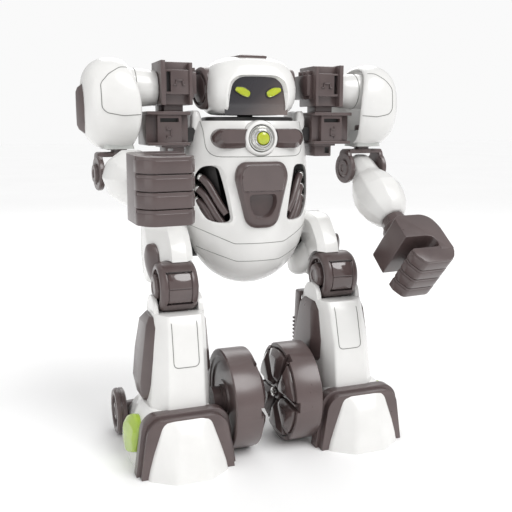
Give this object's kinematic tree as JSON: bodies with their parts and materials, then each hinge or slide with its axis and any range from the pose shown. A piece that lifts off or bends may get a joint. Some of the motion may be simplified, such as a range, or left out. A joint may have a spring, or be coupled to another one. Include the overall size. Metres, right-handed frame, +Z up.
{
  "type": "walking humanoid toy robot",
  "caption": "Humanoid toy robot with rounded white shells, dark joints, jointed arms and legs, gripping fists and wheeled feet.",
  "frame": {"origin": "middle of the bounding box at floor level", "axes": "+X is the robot's left, -Y is the way it faces, +Z up"},
  "size_m": [0.256, 0.1648, 0.291],
  "materials": {
    "white_shell": "moulded satin gloss",
    "dark_plastic": "moulded satin",
    "green_lens": "clear-coated tinted plastic",
    "chrome_ring": "bright plated",
    "visor_gloss": "smoked gloss",
    "black_plastic": "matt black",
    "board_green": "solder mask",
    "cell_steel": "wrapped cell",
    "screw_steel": "plated"
  },
  "bodies": {
    "torso": {"torso_front_shell": "white_shell", "torso_back_shell": "white_shell", "chassis": "black_plastic", "neck_well": "black_plastic", "chest_bar": "dark_plastic", "lamp_collar": "white_shell", "lamp_ring": "chrome_ring", "chest_shield": "dark_plastic", "vent_pipes": "dark_plastic", "battery_door": "white_shell", "battery_cells": "cell_steel", "circuit_board": "board_green", "loudspeaker": "black_plastic", "body_screws": "screw_steel", "left_shoulder_blocks": "dark_plastic", "right_shoulder_blocks": "dark_plastic"},
    "head": {"head_shell": "white_shell", "visor": "visor_gloss", "eye_lenses": "green_lens", "head_trim": "dark_plastic"},
    "button": {"chest_button": "green_lens"},
    "switch": {"power_switch": "black_plastic"},
    "left_upper_arm": {"left_upper_arm_shell": "white_shell", "left_upper_arm_cap": "dark_plastic"},
    "left_elbow": {"left_elbow_joint": "dark_plastic"},
    "left_forearm": {"left_forearm_shell": "white_shell"},
    "left_hand": {"left_wrist": "dark_plastic", "left_fist": "dark_plastic"},
    "left_thigh": {"left_thigh_shell": "white_shell", "left_thigh_cap": "dark_plastic", "left_knee_barrel": "dark_plastic"},
    "left_shin": {"left_shin_shell": "white_shell", "left_calf_panels": "dark_plastic", "left_foot_body": "white_shell", "left_foot_trim": "dark_plastic", "left_toe_cap": "white_shell", "left_foot_lamp": "green_lens"},
    "left_wheel": {"left_wheel_drum": "dark_plastic", "left_wheel_cover": "dark_plastic"},
    "left_side_wheel": {"left_side_wheel": "dark_plastic"},
    "right_upper_arm": {"right_upper_arm_shell": "white_shell", "right_upper_arm_cap": "dark_plastic"},
    "right_elbow": {"right_elbow_joint": "dark_plastic"},
    "right_forearm": {"right_forearm_shell": "white_shell"},
    "right_hand": {"right_wrist": "dark_plastic", "right_fist": "dark_plastic"},
    "right_thigh": {"right_thigh_shell": "white_shell", "right_thigh_cap": "dark_plastic", "right_knee_barrel": "dark_plastic"},
    "right_shin": {"right_shin_shell": "white_shell", "right_calf_panels": "dark_plastic", "right_foot_body": "white_shell", "right_foot_trim": "dark_plastic", "right_toe_cap": "white_shell", "right_foot_lamp": "green_lens"},
    "right_wheel": {"right_wheel_drum": "dark_plastic", "right_wheel_cover": "dark_plastic"},
    "right_side_wheel": {"right_side_wheel": "dark_plastic"}
  },
  "joints": [
    {"name": "head_turn", "type": "hinge", "parent": "torso", "child": "head", "pos_m": [0, 0.04256, 0.2465], "axis": [0, 0, 1], "range_deg": [-40, 40]},
    {"name": "chest_button_press", "type": "slide", "parent": "torso", "child": "button", "axis": [0, 1, 0], "range_m": [0, 0.0018], "stiffness_N_per_m": 300},
    {"name": "power_switch_slide", "type": "slide", "parent": "torso", "child": "switch", "axis": [1, 0, 0], "range_m": [-0.0035, 0.0035]},
    {"name": "left_shoulder_swing", "type": "hinge", "parent": "torso", "child": "left_upper_arm", "pos_m": [0.07, 0.03456, 0.266], "axis": [-1, 0, 0], "range_deg": [-30, 110]},
    {"name": "left_elbow_swivel", "type": "hinge", "parent": "left_upper_arm", "child": "left_elbow", "pos_m": [0.098, 0.03656, 0.206], "axis": [0, 0, -1], "range_deg": [-40, 25]},
    {"name": "left_elbow_bend", "type": "hinge", "parent": "left_elbow", "child": "left_forearm", "pos_m": [0.098, 0.03656, 0.206], "axis": [-0.9945, -0.1045, 0], "range_deg": [-12, 50]},
    {"name": "left_wrist_turn", "type": "hinge", "parent": "left_forearm", "child": "left_hand", "pos_m": [0.10264, -0.00762, 0.16872], "axis": [0.0801, -0.7618, -0.6428], "range_deg": [-90, 90]},
    {"name": "left_hip_swing", "type": "hinge", "parent": "torso", "child": "left_thigh", "pos_m": [0.045, 0.05056, 0.146], "axis": [-1, 0, 0], "range_deg": [-20, 20]},
    {"name": "left_knee_bend", "type": "hinge", "parent": "left_thigh", "child": "left_shin", "pos_m": [0.0625, 0.01556, 0.124], "axis": [-1, 0, 0], "range_deg": [-20, 20]},
    {"name": "left_wheel_spin", "type": "hinge", "parent": "left_shin", "child": "left_wheel", "pos_m": [0.0125, 0.00156, 0.0378], "axis": [1, 0, 0], "continuous": true},
    {"name": "left_side_wheel_spin", "type": "hinge", "parent": "left_shin", "child": "left_side_wheel", "pos_m": [0.098, 0.05256, 0.0183], "axis": [1, 0, 0], "continuous": true},
    {"name": "right_shoulder_swing", "type": "hinge", "parent": "torso", "child": "right_upper_arm", "pos_m": [-0.07, 0.03456, 0.266], "axis": [-1, 0, 0], "range_deg": [-20, 100]},
    {"name": "right_elbow_swivel", "type": "hinge", "parent": "right_upper_arm", "child": "right_elbow", "pos_m": [-0.098, 0.03656, 0.206], "axis": [0, 0, 1], "range_deg": [-40, 25]},
    {"name": "right_elbow_bend", "type": "hinge", "parent": "right_elbow", "child": "right_forearm", "pos_m": [-0.098, 0.03656, 0.206], "axis": [-0.9962, -0.0872, 0], "range_deg": [-38, 14]},
    {"name": "right_wrist_turn", "type": "hinge", "parent": "right_forearm", "child": "right_hand", "pos_m": [-0.09295, -0.02118, 0.20398], "axis": [0.0871, -0.9956, -0.0349], "range_deg": [-90, 90]},
    {"name": "right_hip_swing", "type": "hinge", "parent": "torso", "child": "right_thigh", "pos_m": [-0.045, 0.05056, 0.146], "axis": [-1, 0, 0], "range_deg": [-20, 20]},
    {"name": "right_knee_bend", "type": "hinge", "parent": "right_thigh", "child": "right_shin", "pos_m": [-0.0625, 0.01556, 0.124], "axis": [-1, 0, 0], "range_deg": [-20, 20]},
    {"name": "right_wheel_spin", "type": "hinge", "parent": "right_shin", "child": "right_wheel", "pos_m": [-0.0125, 0.00156, 0.0378], "axis": [1, 0, 0], "continuous": true},
    {"name": "right_side_wheel_spin", "type": "hinge", "parent": "right_shin", "child": "right_side_wheel", "pos_m": [-0.098, 0.05256, 0.0183], "axis": [1, 0, 0], "continuous": true}
  ]
}
